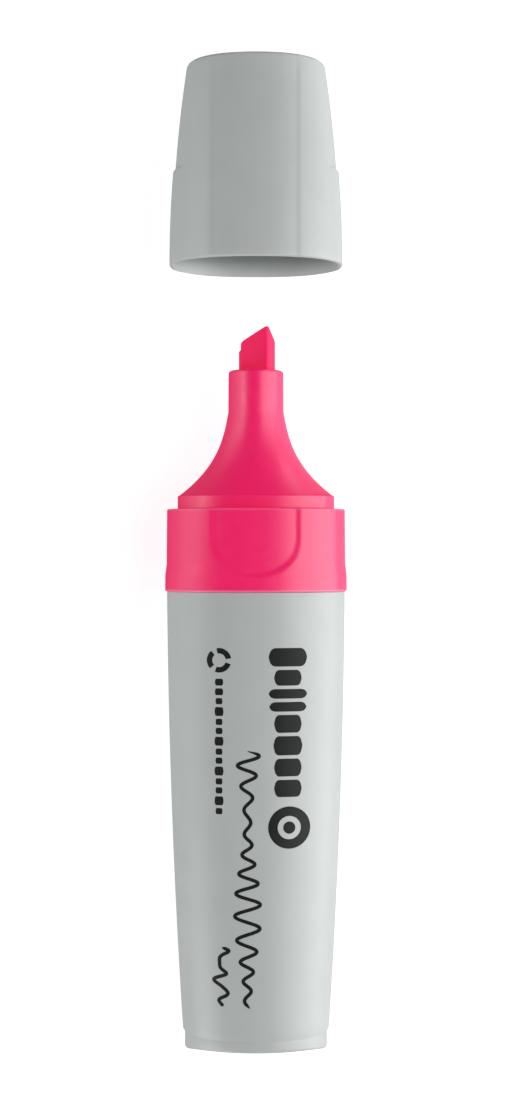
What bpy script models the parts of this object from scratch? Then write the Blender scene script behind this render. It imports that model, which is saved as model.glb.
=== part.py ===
"""A flat highlighter pen with its cap pulled off, both lying on their broad sides.

Lengths are in metres. +Y runs along the pen towards the nib, +X across its width, and +Z is up.
"Along" is a distance from the pen's tail, and "up the cap" one from the cap's rim. The origin is
on the table under the middle of the whole object, and the pen's axis runs level above it.
"""

import math

import bmesh
import bpy
from mathutils import Matrix, Vector

# Driving dimensions of the pen, tail to nib
BARREL_LENGTH = 0.0689
COLLAR_HEIGHT = 0.01265
NECK_HEIGHT = 0.0208
NIB_SHOWING = 0.0069
HALF_WIDTH = 0.01345
HALF_DEPTH = 0.0090
WALL = 0.0015
FIT_GAP = 0.0001

# Driving dimensions of the cap
CAP_HEIGHT = 0.0316
CAP_TRAVEL = 0.0365
CAP_HALF_WIDTH = 0.0131
CAP_WALL = 0.0010
SEAT_GAP = 0.0002

# Places along the pen that follow from them
COLLAR_FOOT = BARREL_LENGTH + FIT_GAP
COLLAR_TOP = BARREL_LENGTH + COLLAR_HEIGHT
NECK_TOP = COLLAR_TOP + NECK_HEIGHT
NIB_TIP = NECK_TOP + NIB_SHOWING
CAP_RIM = COLLAR_TOP + SEAT_GAP + CAP_TRAVEL
OVERALL = CAP_RIM + CAP_HEIGHT

# Cross-sections: superellipses, squarer as the exponent grows
OVAL = 2.3
ROUND = 2.0
RECTANGLE = 6.0
BROAD_SHARE = 0.47
FLAT_SHARE = 0.11
BROAD_STEPS = 5
SIDE_FACETS = 18
TURN_STEPS = 40

# The shallow panel on each broad face of the cap, and its rounded end on the collar
PANEL_HALF = 0.0067
PANEL_LEDGE = 0.0007
PANEL_STEP = 0.00018
PANEL_END_HEIGHT = 0.0053
PANEL_FOOT = 0.0021

# Barrel
BARREL_TAPER = 0.0100
BARREL_BULGE_RADIUS = 1.152
RIB_LENGTH = 0.046
RIB_THICKNESS = 0.0009
RIB_START = 0.0120
RIB_OFFSET = 0.0046

# End plug
PLUG_SEAM = 0.0031
PLUG_STEP = 0.0003
PLUG_ROUND = 0.0004
PLUG_RISE = 0.00145
PLUG_RISE_POWER = 1.4
SPIGOT_END = 0.0090
SPIGOT_WALL = 0.0012
PLUG_FLOOR = 0.0022
POST_RADIUS = 0.0030
POST_END = 0.0097

# Front section: collar, base ring, flared neck, and the skirt inside the barrel
SKIRT_END = 0.0600
SKIRT_WALL = 0.0013
LIP = 0.0003
LIP_HEIGHT = 0.0022
COLLAR_SWELL = 0.0001
COLLAR_EDGE = 0.00025
BASE_HALF_WIDTH = 0.01185
BASE_HALF_DEPTH = 0.00735
BASE_HEIGHT = 0.0018
BASE_ROUND = 0.0005
FLARE_HEIGHT = 0.0127
FLARE_LEAN = 0.3
FLARE_POWER = 2.8
FLARE_STEPS = 10
NECK_RADIUS = 0.00418
MOUTH_RADIUS = 0.00415
MOUTH_ROUND = 0.0004
FLARE_WALL = 0.0016
BORE_END = 0.0073
BORE_GAP = 0.0003

# Nib: a flat bar turned about its own length, its end cut to slope across and back
NIB_HALF_WIDTH = 0.0023
NIB_HALF_DEPTH = 0.0017
NIB_TURN = math.radians(22.0)
NIB_OFFSET = 0.0003
NIB_STEP = 0.0003
NIB_STEP_DROP = 0.0038
NIB_TAIL = 0.0745
NIB_SLOPE_ACROSS = math.radians(29.0)
NIB_SLOPE_BACK = math.radians(37.0)
NIB_ROUND = 0.0006
NIB_CORNER = 0.00025

# Ink reservoir
CORE_HALF_WIDTH = 0.0089
CORE_HALF_DEPTH = 0.0054
CORE_START = 0.0100
CORE_END = 0.0800
POCKET_GAP = 0.0003
FILM_GAP = 0.0001
FILM_THICKNESS = 0.00015
FILM_INSET = 0.0004
BREATHER_X = 0.0062
BREATHER_RADIUS = 0.0008
BREATHER_BORE = 0.00045
BREATHER_GAP = 0.00015
BREATHER_OVERHANG = 0.0014

# Cap
PAD_HEIGHT = 0.0139
PAD_STEP = 0.00033
PAD_CURVE = 3.26
CAP_TAPER = 0.075
CAP_CURVE = 2.6
CAP_DEPTH_DROP = 0.0009
CROWN_ROUND = 0.0006
DOME_RISE = 0.0014
CEILING = 0.0018
CEILING_ROUND = 0.0022
LINER_BORE = 0.0044
LINER_WALL = 0.0008
LINER_MOUTH = 0.0148
LINER_LEAD = 0.00035
LINER_CEILING = 0.0009
FLANGE_RADIUS = 0.0054
FLANGE_HEIGHT = 0.0012
SOCKET_GAP = 0.00015
SOCKET_WALL = 0.0009
SOCKET_DEPTH = 0.0040

GREY = (0.42, 0.45, 0.44, 1.0)
PINK = (0.80, 0.022, 0.15, 1.0)
INK_PINK = (0.80, 0.010, 0.12, 1.0)
NATURAL = (0.82, 0.82, 0.80, 1.0)
FILM_WHITE = (0.88, 0.88, 0.90, 1.0)


def clear_scene():
    for obj in list(bpy.data.objects):
        bpy.data.objects.remove(obj)


def new_collection(name):
    collection = bpy.data.collections.new(name)
    bpy.context.scene.collection.children.link(collection)
    return collection


def plastic(name, colour, roughness):
    material = bpy.data.materials.new(name)
    material.use_nodes = True
    shader = material.node_tree.nodes["Principled BSDF"]
    shader.inputs["Base Color"].default_value = colour
    shader.inputs["Roughness"].default_value = roughness
    shader.inputs["Metallic"].default_value = 0.0
    return material


def superellipse(x, half_width, half_depth, squareness):
    return half_depth * (1 - (abs(x) / half_width) ** squareness) ** (1 / squareness)


def places_across(reach, flat, steps):
    """Places from one edge of a broad face to the other, with a wide flat in the middle."""
    half = [reach + (flat - reach) * i / steps for i in range(steps + 1)]
    return half + [-x for x in reversed(half)]


def broad_height(x, flat, half_width, half_depth, squareness=OVAL):
    if abs(x) < 1.001 * flat:
        return half_depth
    return superellipse(x, half_width, half_depth, squareness)


def broad_face(half_width, half_depth, squareness):
    """Points across a plain broad face."""
    flat = FLAT_SHARE * half_width
    places = places_across(BROAD_SHARE * half_width, flat, BROAD_STEPS)
    return [(x, broad_height(x, flat, half_width, half_depth, squareness)) for x in places]


def panelled_face(half_width, half_depth):
    """Points across a broad face whose panel lies PANEL_STEP lower and reaches half_depth."""
    crest = half_depth + PANEL_STEP
    flat = FLAT_SHARE * half_width
    edge = superellipse(PANEL_HALF, half_width, crest, OVAL)
    places = places_across(PANEL_HALF - PANEL_LEDGE, flat, BROAD_STEPS - 1)
    panel = [(x, broad_height(x, flat, half_width, crest) - PANEL_STEP) for x in places]
    return [(PANEL_HALF, edge)] + panel + [(-PANEL_HALF, edge)]


def ring(along, half_width, half_depth, squareness=OVAL, panelled=False):
    """One cross-section: two broad faces joined by two round narrow sides."""
    if panelled:
        face = panelled_face(half_width, half_depth)
        half_depth += PANEL_STEP
    else:
        face = broad_face(half_width, half_depth, squareness)
    start = math.acos((face[0][0] / half_width) ** (squareness / 2))
    points = []
    for side in (1, -1):
        points += [Vector((side * x, along, side * z)) for x, z in face]
        for i in range(1, SIDE_FACETS):
            angle = start - 2 * start * i / SIDE_FACETS
            across = half_width * math.cos(angle) ** (2 / squareness)
            rise = half_depth * abs(math.sin(angle)) ** (2 / squareness)
            points.append(Vector((-side * across, along, side * math.copysign(rise, angle))))
    return points


def loft(rings, joined=False, capped=True):
    """A mesh skinned over loops of points; a joined one runs from its last loop to its first."""
    shape = bmesh.new()
    loops = [[shape.verts.new(point) for point in points] for points in rings]
    pairs = list(zip(loops, loops[1:]))
    if joined:
        pairs.append((loops[-1], loops[0]))
    for lower, upper in pairs:
        for i in range(len(lower)):
            j = (i + 1) % len(lower)
            shape.faces.new((lower[i], lower[j], upper[j], upper[i]))
    if capped and not joined:
        shape.faces.new(loops[0])
        shape.faces.new(reversed(loops[-1]))
    bmesh.ops.recalc_face_normals(shape, faces=shape.faces[:])
    mesh = bpy.data.meshes.new("loft")
    shape.to_mesh(mesh)
    shape.free()
    return mesh


def place(name, mesh, collection, parent, material=None):
    """An object whose mesh is in its parent's own coordinates."""
    obj = bpy.data.objects.new(name, mesh)
    mesh.name = name
    if material:
        mesh.materials.append(material)
        mesh.shade_smooth()
        mesh.set_sharp_from_angle(angle=math.radians(30))
    obj.parent = parent
    collection.objects.link(obj)
    return obj


def helper(name, mesh, collection, parent):
    """A cutter, or a shape that a Boolean joins to a piece; not part of the object by itself."""
    obj = place(name, mesh, collection, parent)
    obj.hide_render = True
    obj.display_type = "WIRE"
    return obj


def boolean(target, other, operation):
    modifier = target.modifiers.new(operation.title() + " " + other.name, "BOOLEAN")
    modifier.operation = operation
    modifier.solver = "EXACT"
    modifier.object = other


def box_mesh(size, matrix):
    shape = bmesh.new()
    bmesh.ops.create_cube(shape, size=1.0)
    bmesh.ops.scale(shape, verts=shape.verts, vec=size)
    bmesh.ops.transform(shape, verts=shape.verts, matrix=matrix)
    mesh = bpy.data.meshes.new("box")
    shape.to_mesh(mesh)
    shape.free()
    return mesh


def turned(name, profile, collection, parent, material=None, x=0.0):
    """A closed (radius, along) profile turned about a line that runs along the pen at x."""
    mesh = bpy.data.meshes.new(name)
    count = len(profile)
    edges = [(i, (i + 1) % count) for i in range(count)]
    mesh.from_pydata([(radius, 0.0, along) for radius, along in profile], edges, [])
    obj = place(name, mesh, collection, parent, material)
    obj.location.x = x
    obj.rotation_euler.x = math.radians(-90)
    screw = obj.modifiers.new("Turn", "SCREW")
    screw.axis = "Z"
    screw.steps = TURN_STEPS
    screw.render_steps = TURN_STEPS
    screw.use_merge_vertices = True
    screw.merge_threshold = 1e-6
    return obj


def barrel_half_width(along):
    back = BARREL_LENGTH - along
    return HALF_WIDTH - BARREL_TAPER * back - back**2 / (2 * BARREL_BULGE_RADIUS)


def make_barrel(parts, helpers, pen, grey):
    """The oval shell, open at both ends, with four ribs inside that steady the reservoir."""
    foot = PLUG_SEAM + FIT_GAP
    stations = [foot + (BARREL_LENGTH - foot) * i / 10 for i in range(11)]
    rings = [ring(along, barrel_half_width(along), HALF_DEPTH) for along in stations]
    barrel = place("barrel", loft(rings, capped=False), parts, pen, grey)
    shell = barrel.modifiers.new("Wall", "SOLIDIFY")
    shell.thickness = WALL
    shell.offset = -1.0
    outer = HALF_DEPTH - WALL / 2
    inner = CORE_HALF_DEPTH + FILM_GAP + FILM_THICKNESS + 2 * FIT_GAP
    for number, (side, face) in enumerate([(1, 1), (-1, 1), (1, -1), (-1, -1)], start=1):
        size = (RIB_THICKNESS, RIB_LENGTH, outer - inner)
        centre = (side * RIB_OFFSET, RIB_START + RIB_LENGTH / 2, face * (outer + inner) / 2)
        rib = helper(f"rib_{number}", box_mesh(size, Matrix.Translation(centre)), helpers, pen)
        boolean(barrel, rib, "UNION")


def rounded(radius, steps=3):
    """Pairs (distance back from the end, inset) round a quarter circle, side first."""
    turns = [math.radians(90 * i / steps) for i in range(steps + 1)]
    return [(radius * (1 - math.sin(turn)), radius * (1 - math.cos(turn))) for turn in turns]


def plug_end_ring(half_width, half_depth, back=0.0, share=1.0):
    """A ring of the plug's end, whose edge curves forward where it crosses the broad faces."""
    points = ring(back, half_width, half_depth)
    for point in points:
        above = min(1.0, abs(point.z) / half_depth)
        point.y += PLUG_RISE * math.sin(math.pi / 2 * above**PLUG_RISE_POWER) * share**2
        point.x *= share
        point.z *= share
    return points


def make_end_plug(parts, pen, grey):
    """The tail closure: a domed end, a hollow spigot in the barrel and a post behind the core."""
    half_width = barrel_half_width(PLUG_SEAM) - PLUG_STEP
    half_depth = HALF_DEPTH - PLUG_STEP
    end = (half_width - PLUG_ROUND, half_depth - PLUG_ROUND)
    rings = [plug_end_ring(*end, share=share) for share in (0.05, 0.4, 0.75)]
    for back, inset in reversed(rounded(PLUG_ROUND)):
        rings.append(plug_end_ring(half_width - inset, half_depth - inset, back))
    rings.append(ring(PLUG_SEAM, half_width, half_depth))
    outer_width = barrel_half_width(PLUG_SEAM) - WALL - 2 * FIT_GAP
    outer_depth = HALF_DEPTH - WALL - 2 * FIT_GAP
    inner_width = outer_width - SPIGOT_WALL
    inner_depth = outer_depth - SPIGOT_WALL
    rings.append(ring(PLUG_SEAM, outer_width, outer_depth))
    rings.append(ring(SPIGOT_END, outer_width, outer_depth))
    rings.append(ring(SPIGOT_END, inner_width, inner_depth))
    rings.append(ring(PLUG_FLOOR, inner_width, inner_depth))
    rings.append(ring(PLUG_FLOOR, POST_RADIUS, POST_RADIUS, ROUND))
    rings.append(ring(POST_END, POST_RADIUS, POST_RADIUS, ROUND))
    place("end_plug", loft(rings), parts, pen, grey)


def flare_ring(share, inset=0.0):
    """The neck's section at a share of the flare's height, 0 at the tube and 1 at the base."""
    spread = FLARE_LEAN * share + (1 - FLARE_LEAN) * share**FLARE_POWER
    top_width = BASE_HALF_WIDTH - BASE_ROUND
    top_depth = BASE_HALF_DEPTH - BASE_ROUND
    half_width = NECK_RADIUS + (top_width - NECK_RADIUS) * spread - inset
    half_depth = NECK_RADIUS + (top_depth - NECK_RADIUS) * spread - inset
    along = COLLAR_TOP + BASE_HEIGHT + FLARE_HEIGHT * (1 - share)
    return ring(along, half_width, half_depth, ROUND + (OVAL - ROUND) * spread)


def collar_rings():
    """From the skirt's end, round the collar's foot and up to the base ring's foot."""
    skirt_width = HALF_WIDTH - WALL - 2 * FIT_GAP
    skirt_depth = HALF_DEPTH - WALL - 2 * FIT_GAP
    lip_width = HALF_WIDTH + LIP
    return [
        ring(SKIRT_END, skirt_width, skirt_depth),
        ring(COLLAR_FOOT, skirt_width, skirt_depth),
        ring(COLLAR_FOOT, lip_width - COLLAR_EDGE, HALF_DEPTH - COLLAR_EDGE),
        ring(COLLAR_FOOT + COLLAR_EDGE, lip_width, HALF_DEPTH),
        ring(COLLAR_FOOT + LIP_HEIGHT, lip_width, HALF_DEPTH),
        ring(COLLAR_FOOT + 2 * LIP_HEIGHT, HALF_WIDTH + COLLAR_SWELL, HALF_DEPTH),
        ring(COLLAR_TOP - COLLAR_EDGE, HALF_WIDTH, HALF_DEPTH),
        ring(COLLAR_TOP, HALF_WIDTH - COLLAR_EDGE, HALF_DEPTH - COLLAR_EDGE),
    ]


def neck_rings():
    """The base ring, the flare up to the tube, and the tube's rounded mouth."""
    base_top = COLLAR_TOP + BASE_HEIGHT
    rings = [
        ring(COLLAR_TOP, BASE_HALF_WIDTH, BASE_HALF_DEPTH),
        ring(base_top - BASE_ROUND, BASE_HALF_WIDTH, BASE_HALF_DEPTH),
    ]
    chamfer = 0.3 * BASE_ROUND
    rings.append(ring(base_top - chamfer, BASE_HALF_WIDTH - chamfer, BASE_HALF_DEPTH - chamfer))
    rings += [flare_ring(1 - i / FLARE_STEPS) for i in range(FLARE_STEPS + 1)]
    for i in range(5):
        turn = math.radians(90 * i / 4)
        radius = MOUTH_RADIUS - MOUTH_ROUND * (1 - math.cos(turn))
        rings.append(ring(NECK_TOP - MOUTH_ROUND * (1 - math.sin(turn)), radius, radius, ROUND))
    return rings


def nib_ring(along, room=0.0, step=NIB_STEP):
    """The nib's section, turned as the nib is; room round it makes it a bore for the nib.

    Below a small step near its end, the nib is wider on its left by the step.
    """
    cosine = math.cos(NIB_TURN)
    sine = math.sin(NIB_TURN)
    turned_points = []
    for point in ring(along, NIB_HALF_WIDTH + room, NIB_HALF_DEPTH + room, RECTANGLE):
        across = point.x - step if point.x < 0 else point.x
        x = NIB_OFFSET + across * cosine - point.z * sine
        turned_points.append(Vector((x, along, across * sine + point.z * cosine)))
    return turned_points


def inside_rings():
    """Down the inside: the nib's bore, the throat and the chamber for the core's front."""
    chamber_width = HALF_WIDTH - WALL - 2 * FIT_GAP - SKIRT_WALL
    chamber_depth = HALF_DEPTH - WALL - 2 * FIT_GAP - SKIRT_WALL
    return [
        nib_ring(NECK_TOP, BORE_GAP),
        nib_ring(COLLAR_TOP + BORE_END, BORE_GAP),
        flare_ring(0.75, FLARE_WALL),
        flare_ring(0.9, FLARE_WALL),
        ring(COLLAR_TOP - COLLAR_EDGE, chamber_width, chamber_depth),
        ring(SKIRT_END, chamber_width, chamber_depth),
    ]


def panel_cutter_mesh(face):
    """Slices across the panel's end: each starts on its rounded edge and runs off the collar."""
    arc_middle = COLLAR_FOOT + PANEL_FOOT + PANEL_END_HEIGHT
    open_end = COLLAR_TOP + BASE_HEIGHT / 2
    slices = []
    for i in range(17):
        turn = math.radians(-90 + 180 * i / 16)
        x = PANEL_HALF * math.sin(turn)
        edge = arc_middle - PANEL_END_HEIGHT * math.cos(turn)
        surface = superellipse(x, HALF_WIDTH, HALF_DEPTH, OVAL)
        depth = min(1.0, (PANEL_HALF - abs(x)) / PANEL_LEDGE)
        floor = surface - PANEL_STEP * depth
        ledge = PANEL_LEDGE * depth
        rim = surface + 0.3 * PANEL_STEP
        outline = [(edge, rim), (edge + ledge, floor), (open_end, floor), (open_end, 2 * HALF_DEPTH)]
        outline.append((edge, 2 * HALF_DEPTH))
        slices.append([Vector((x, y, face * z)) for y, z in outline])
    return loft(slices)


def make_front_section(parts, helpers, pen, pink):
    """Collar, flared neck and skirt in one moulding, with the cap panel's end on both faces."""
    rings = collar_rings() + neck_rings() + inside_rings()
    front = place("front_section", loft(rings, joined=True), parts, pen, pink)
    for face, name in [(1, "panel_end_top"), (-1, "panel_end_under")]:
        boolean(front, helper(name, panel_cutter_mesh(face), helpers, pen), "DIFFERENCE")


def chisel_cutter(helpers, pen):
    """A block whose lower face is the nib's end: highest at its front right corner."""
    size = 0.03
    turn = Matrix.Rotation(-NIB_TURN, 4, "Y")
    slope = Vector((-math.tan(NIB_SLOPE_ACROSS), 1.0, -math.tan(NIB_SLOPE_BACK)))
    lean = Vector((0.0, 1.0, 0.0)).rotation_difference(slope).to_matrix().to_4x4()
    corner = Matrix.Translation((NIB_HALF_WIDTH, NIB_TIP + NIB_CORNER, NIB_HALF_DEPTH))
    above = Matrix.Translation((0.0, size / 2, 0.0))
    offset = Matrix.Translation((NIB_OFFSET, 0.0, 0.0))
    block = box_mesh((size, size, size), offset @ turn @ corner @ lean @ above)
    return helper("chisel_cut", block, helpers, pen)


def make_nib(parts, helpers, pen, ink_pink):
    """A flat fibre bar cut to a slanted chisel edge."""
    step_at = NIB_TIP - NIB_STEP_DROP
    rings = [
        nib_ring(NIB_TAIL, -NIB_ROUND),
        nib_ring(NIB_TAIL + NIB_ROUND),
        nib_ring(step_at - NIB_STEP),
        nib_ring(step_at, step=0.0),
        nib_ring(NIB_TIP + 2 * NIB_ROUND, step=0.0),
    ]
    nib = place("nib", loft(rings), parts, pen, ink_pink)
    boolean(nib, chisel_cutter(helpers, pen), "DIFFERENCE")


def make_core(parts, helpers, pen, ink_pink):
    """The ink-soaked fibre core, with a pocket for the nib's tail and a bore for the vent tube."""
    rings = [
        ring(CORE_START, CORE_HALF_WIDTH, CORE_HALF_DEPTH),
        ring(CORE_END, CORE_HALF_WIDTH, CORE_HALF_DEPTH),
    ]
    core = place("ink_reservoir", loft(rings), parts, pen, ink_pink)
    pocket = loft([
        nib_ring(NIB_TAIL - POCKET_GAP, POCKET_GAP),
        nib_ring(CORE_END + POCKET_GAP, POCKET_GAP),
    ])
    boolean(core, helper("nib_pocket", pocket, helpers, pen), "DIFFERENCE")
    hole = BREATHER_RADIUS + BREATHER_GAP
    start = CORE_START - POCKET_GAP
    end = CORE_END + POCKET_GAP
    profile = [(0.0, end), (hole, end), (hole, start), (0.0, start)]
    bore = turned("breather_hole", profile, helpers, pen, x=BREATHER_X)
    bore.hide_render = True
    bore.display_type = "WIRE"
    boolean(core, bore, "DIFFERENCE")


def make_film(parts, pen, film_white):
    """The thin film wrapped round the core."""
    inner_width = CORE_HALF_WIDTH + FILM_GAP
    inner_depth = CORE_HALF_DEPTH + FILM_GAP
    outer_width = inner_width + FILM_THICKNESS
    outer_depth = inner_depth + FILM_THICKNESS
    start = CORE_START + FILM_INSET
    end = CORE_END - FILM_INSET
    rings = [
        ring(start, outer_width, outer_depth),
        ring(end, outer_width, outer_depth),
        ring(end, inner_width, inner_depth),
        ring(start, inner_width, inner_depth),
    ]
    place("reservoir_film", loft(rings, joined=True), parts, pen, film_white)


def make_breather(parts, pen, natural):
    """The vent tube through the core, from the tail's air space to the front chamber."""
    start = CORE_START - BREATHER_OVERHANG
    end = CORE_END + BREATHER_OVERHANG
    profile = [
        (BREATHER_RADIUS, end),
        (BREATHER_RADIUS, start),
        (BREATHER_BORE, start),
        (BREATHER_BORE, end),
    ]
    turned("breather_tube", profile, parts, pen, natural, x=BREATHER_X)


def cap_half_width(height):
    """The cap's half width, with the raised pad on its narrow sides up to PAD_HEIGHT."""
    if height <= PAD_HEIGHT:
        return CAP_HALF_WIDTH - PAD_CURVE * height**2
    shoulder = CAP_HALF_WIDTH - PAD_CURVE * PAD_HEIGHT**2 - PAD_STEP
    above = height - PAD_HEIGHT
    return shoulder - CAP_TAPER * above - CAP_CURVE * above**2


def cap_half_depth(height):
    return HALF_DEPTH - CAP_DEPTH_DROP * (height / CAP_HEIGHT) ** 2


def cap_outside():
    """Rings from the middle of the domed top, over its rounded edge and down to the rim."""
    crown = CAP_HEIGHT - DOME_RISE
    start = crown - CROWN_ROUND
    pad = [PAD_HEIGHT * i / 5 for i in range(6)]
    side = [PAD_HEIGHT + 0.0001 + (start - PAD_HEIGHT - 0.0001) * i / 5 for i in range(6)]
    rings = []
    for height in pad + side:
        rings.append(ring(height, cap_half_width(height), cap_half_depth(height), panelled=True))
    for back, inset in rounded(CROWN_ROUND)[1:]:
        slim = cap_half_width(crown - back) - inset
        thin = cap_half_depth(crown - back) - inset
        rings.append(ring(crown - back, slim, thin, panelled=True))
    for share in (0.75, 0.4, 0.05):
        rings.append(ring(crown + DOME_RISE * (1 - share**2), slim * share, thin * share))
    rings.reverse()
    return rings


def cap_inside():
    """Rings up the inside of the cap, from its mouth to its ceiling."""
    top = CAP_HEIGHT - CEILING
    rings = [ring(top, cap_half_width(top) - CEILING_ROUND, cap_half_depth(top) - CEILING_ROUND)]
    for i in range(6):
        height = (top - CAP_WALL) * (1 - i / 5)
        slim = min(cap_half_width(height), cap_half_width(PAD_HEIGHT + 0.0001)) - CAP_WALL
        if height < PAD_HEIGHT:
            slim += (CAP_HALF_WIDTH - slim - CAP_WALL) * (1 - height / PAD_HEIGHT)
        rings.append(ring(height, slim, cap_half_depth(height) - CAP_WALL))
    rings.reverse()
    return rings


def turned_tube(name, radii, span, helpers, parent):
    """A plain tube between two places up the cap, for a Boolean to join to it."""
    outer, inner = radii
    start, end = span
    profile = [(outer, end), (outer, start), (inner, start), (inner, end)]
    tube = turned(name, profile, helpers, parent)
    tube.hide_render = True
    tube.display_type = "WIRE"
    return tube


def make_cap_shell(parts, helpers, cap, grey):
    """The grey cap, with a short round socket under its ceiling that grips the liner."""
    shell = place("cap_shell", loft(cap_outside() + cap_inside()), parts, cap, grey)
    inner = FLANGE_RADIUS + SOCKET_GAP
    top = CAP_HEIGHT - CEILING
    span = (top - SOCKET_DEPTH, top + CEILING / 2)
    socket = turned_tube("liner_socket", (inner + SOCKET_WALL, inner), span, helpers, cap)
    boolean(shell, socket, "UNION")


def make_cap_liner(parts, cap, natural):
    """The inner cup that seals on the neck and keeps the nib wet."""
    top = CAP_HEIGHT - CEILING - 2 * SOCKET_GAP
    outer = LINER_BORE + LINER_WALL
    profile = [
        (0.0, top),
        (FLANGE_RADIUS, top),
        (FLANGE_RADIUS, top - FLANGE_HEIGHT),
        (outer, top - FLANGE_HEIGHT),
        (outer, LINER_MOUTH),
        (LINER_BORE + LINER_LEAD, LINER_MOUTH),
        (LINER_BORE, LINER_MOUTH + 2 * LINER_LEAD),
        (LINER_BORE, top - LINER_CEILING),
        (0.0, top - LINER_CEILING),
    ]
    turned("cap_liner", profile, parts, cap, natural)


def main():
    clear_scene()
    parts = new_collection("highlighter")
    helpers = new_collection("highlighter_helpers")
    helpers.hide_render = True
    pen = bpy.data.objects.new("pen_tail", None)
    pen.location = (0.0, -OVERALL / 2, HALF_DEPTH)
    parts.objects.link(pen)
    cap = bpy.data.objects.new("cap_slide", None)
    cap.location = (0.0, CAP_RIM - OVERALL / 2, HALF_DEPTH)
    parts.objects.link(cap)
    grey = plastic("grey_plastic", GREY, 0.38)
    pink = plastic("pink_plastic", PINK, 0.34)
    ink_pink = plastic("inked_fibre", INK_PINK, 0.85)
    natural = plastic("natural_plastic", NATURAL, 0.45)
    film_white = plastic("clear_film", FILM_WHITE, 0.25)
    make_barrel(parts, helpers, pen, grey)
    make_end_plug(parts, pen, grey)
    make_front_section(parts, helpers, pen, pink)
    make_nib(parts, helpers, pen, ink_pink)
    make_core(parts, helpers, pen, ink_pink)
    make_film(parts, pen, film_white)
    make_breather(parts, pen, natural)
    make_cap_shell(parts, helpers, cap, grey)
    make_cap_liner(parts, cap, natural)


main()
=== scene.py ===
"""A flat highlighter with its cap drawn off, lying on a pale table: fine shapes, finishes, light.

Lengths are in metres, in the CAD's frame: +Y runs from the tail towards the nib and the cap, +X
across the pen and +Z up. Each visible shell is a finer version of its CAD node, and takes its
place from that node's box. The sealed inner pieces keep their CAD shapes.
"""
import math

import bpy
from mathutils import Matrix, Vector


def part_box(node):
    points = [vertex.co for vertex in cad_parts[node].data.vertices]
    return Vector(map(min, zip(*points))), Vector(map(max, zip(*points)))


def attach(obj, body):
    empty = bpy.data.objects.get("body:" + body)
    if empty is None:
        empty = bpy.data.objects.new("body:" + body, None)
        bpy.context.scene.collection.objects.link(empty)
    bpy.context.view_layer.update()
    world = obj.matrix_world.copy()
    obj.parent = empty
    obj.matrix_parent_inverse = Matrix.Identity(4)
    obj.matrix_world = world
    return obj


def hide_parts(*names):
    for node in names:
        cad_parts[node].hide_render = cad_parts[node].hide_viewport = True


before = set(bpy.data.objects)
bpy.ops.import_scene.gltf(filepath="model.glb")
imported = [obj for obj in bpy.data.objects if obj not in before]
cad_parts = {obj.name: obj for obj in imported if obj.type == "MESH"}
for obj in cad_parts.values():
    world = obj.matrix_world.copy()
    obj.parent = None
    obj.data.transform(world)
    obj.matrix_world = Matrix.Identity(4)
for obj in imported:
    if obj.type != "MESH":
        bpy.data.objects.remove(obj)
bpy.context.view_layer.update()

# Cross-sections: points in a loop, and the powers of the superellipses
AROUND = 240
OVAL = 2.3
ROUND = 2.0
RECTANGLE = 8.0
SHARP_ANGLE = math.radians(40)

# The shallow panel on the cap's broad faces, and its rounded end on the collar
PANEL_HALF = 0.0067
PANEL_LEDGE = 0.0008
PANEL_STEP = 0.00020
PANEL_END_HEIGHT = 0.0053
PANEL_FOOT = 0.0021
PANEL_FADE = 0.0022
CAP_PANEL_STEP = 0.00011

# Barrel and end plug
BARREL_TAPER = 0.0080
BARREL_BULGE_RADIUS = 1.152
WALL = 0.0015
RIM_EASE = 0.00002
FIT_GAP = 0.0002
PLUG_STEP = 0.0003
PLUG_DEPTH_STEP = 0.00001
PLUG_ROUND = 0.0004
PLUG_RISE = 0.00145
PLUG_RISE_POWER = 1.4
PLUG_END_SHARES = (0.04, 0.2, 0.4, 0.6, 0.8, 0.93)
SPIGOT_SHORTER = 0.0007

# Front section: collar, base ring, flare and neck
COLLAR_HEIGHT = 0.0124
COLLAR_SEAM = 0.00004
COLLAR_EASE = 0.00016
COLLAR_SWELL = 0.0001
LIP = 0.0003
LIP_HEIGHT = 0.0022
BASE_HEIGHT = 0.00205
BASE_ROUND = 0.0002
BASE_FILLET = 0.0002
BASE_HALF_WIDTH = 0.01185
BASE_HALF_DEPTH = 0.00735
FLARE_HEIGHT = 0.0127
FLARE_STEPS = 40
FLARE_LEAN = 0.3
FLARE_POWER = 2.8
NECK_RADIUS = 0.00418
NECK_SHORTER = 0.0001
MOUTH_RADIUS = 0.00415
MOUTH_ROUND = 0.0004
BORE_GAP = 0.0001
BORE_ROUND = 0.00025
BORE_FLOOR = 0.0073

# Nib: a flat bar turned about its own length, its end cut to slope across and back
NIB_HALF_WIDTH = 0.0023
NIB_HALF_DEPTH = 0.0017
NIB_TURN = math.radians(22.0)
NIB_OFFSET = 0.0003
NIB_STEP = 0.0003
NIB_STEP_DROP = 0.0038
NIB_STEP_BEND = (0.3, 0.6)
NIB_SLOPE_ACROSS = math.radians(29.0)
NIB_SLOPE_BACK = math.radians(37.0)
NIB_EASE = 0.00014
NIB_EASE_STEPS = 5
NIB_WORN = 0.0003
NIB_HIDDEN = 0.006
NIB_BARE = 0.0004
NIB_SIDE_SHARES = (0.3, 0.6, 0.9, 1.0)
NIB_CUT_SHARES = (0.75, 0.5, 0.25, 0.05)

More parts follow.
